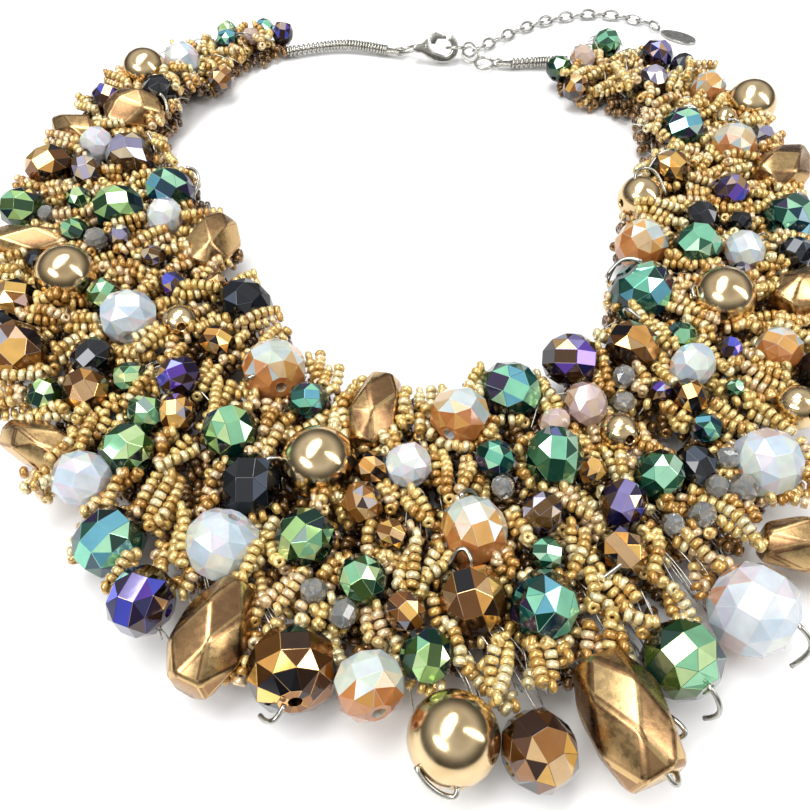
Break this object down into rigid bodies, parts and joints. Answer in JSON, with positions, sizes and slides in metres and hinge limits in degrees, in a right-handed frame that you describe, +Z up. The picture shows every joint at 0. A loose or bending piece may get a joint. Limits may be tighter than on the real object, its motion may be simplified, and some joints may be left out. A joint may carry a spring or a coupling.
{
  "type": "bib necklace",
  "caption": "Bib necklace of gold balls, gold nuggets, cut crystals and seed beads on crocheted wire, with wire-wrapped ends, lobster clasp and extender chain.",
  "frame": {"origin": "middle of the bounding box at its base, on the surface that the necklace lies on", "axes": "+X to the right as seen from the front, +Y from the bib's lowest beads towards the clasp, +Z up from the surface"},
  "size_m": [0.2026, 0.2464, 0.017],
  "materials": {
    "polished_gold": "mirror-plated pale champagne gold on hollow balls",
    "satin_gold": "satin champagne and bronze gold plate, pinker on the edges",
    "smoky_crystal": "smoky cut crystal with purple and blue sheen",
    "teal_crystal": "cut crystal with a teal, blue and purple rainbow coat",
    "copper_crystal": "black and amber cut crystal half coated in copper gold",
    "black_crystal": "jet black cut crystal",
    "amber_crystal": "dark amber cut crystal with a golden bore",
    "opal_glass": "milky opal cut glass, bluish white with peach rims",
    "green_crystal": "green cut crystal with a mint, olive and blue coat",
    "seed_bead": "silver-lined gold seed beads and small crystals on wire",
    "silver_wire": "bright silver plate on wire and clasp",
    "silver_chain": "bright silver plate"
  },
  "bodies": {
    "necklace": {"gold_ball_1": "polished_gold", "gold_ball_2": "polished_gold", "gold_ball_3": "polished_gold", "gold_ball_4": "polished_gold", "gold_ball_5": "polished_gold", "gold_ball_6": "polished_gold", "gold_ball_7": "polished_gold", "gold_nugget_1": "satin_gold", "gold_nugget_2": "satin_gold", "gold_nugget_3": "satin_gold", "gold_nugget_4": "satin_gold", "gold_nugget_5": "satin_gold", "gold_nugget_6": "satin_gold", "gold_nugget_7": "satin_gold", "gold_nugget_8": "satin_gold", "gold_nugget_9": "satin_gold", "gold_nugget_10": "satin_gold", "gold_nugget_11": "satin_gold", "smoky_crystal_1": "smoky_crystal", "smoky_crystal_2": "smoky_crystal", "teal_crystal_1": "teal_crystal", "teal_crystal_2": "teal_crystal", "teal_crystal_3": "teal_crystal", "teal_crystal_4": "teal_crystal", "teal_crystal_5": "teal_crystal", "copper_crystal_1": "copper_crystal", "copper_crystal_2": "copper_crystal", "copper_crystal_3": "copper_crystal", "black_crystal_1": "black_crystal", "black_crystal_2": "black_crystal", "black_crystal_3": "black_crystal", "amber_crystal_1": "amber_crystal", "opal_1": "opal_glass", "opal_2": "opal_glass", "opal_3": "opal_glass", "opal_4": "opal_glass", "opal_5": "opal_glass", "opal_6": "opal_glass", "opal_7": "opal_glass", "green_crystal_1": "green_crystal", "bead_mesh_1": "seed_bead", "bead_mesh_2": "seed_bead", "bead_mesh_3": "seed_bead", "bead_mesh_4": "seed_bead", "bead_mesh_5": "seed_bead", "bead_mesh_6": "seed_bead", "bead_mesh_7": "seed_bead", "bead_mesh_8": "seed_bead", "wire_wrap_left": "silver_wire", "wire_wrap_right": "silver_wire", "jump_ring_left": "silver_wire", "jump_ring_right": "silver_wire", "jump_ring_hook": "silver_wire", "clasp_body": "silver_wire", "extender_chain": "silver_chain", "tag_ring": "silver_chain", "tag": "silver_chain"},
    "lever": {"clasp_lever": "silver_wire"}
  },
  "joints": [
    {"name": "lever_hinge", "type": "hinge", "parent": "necklace", "child": "lever", "pos_m": [0.00692, 0.095, 0.00674], "axis": [0, -0.8829, 0.4695], "range_deg": [-22, 0], "stiffness_Nm_per_rad": 0.002, "springref_deg": 11.46}
  ]
}
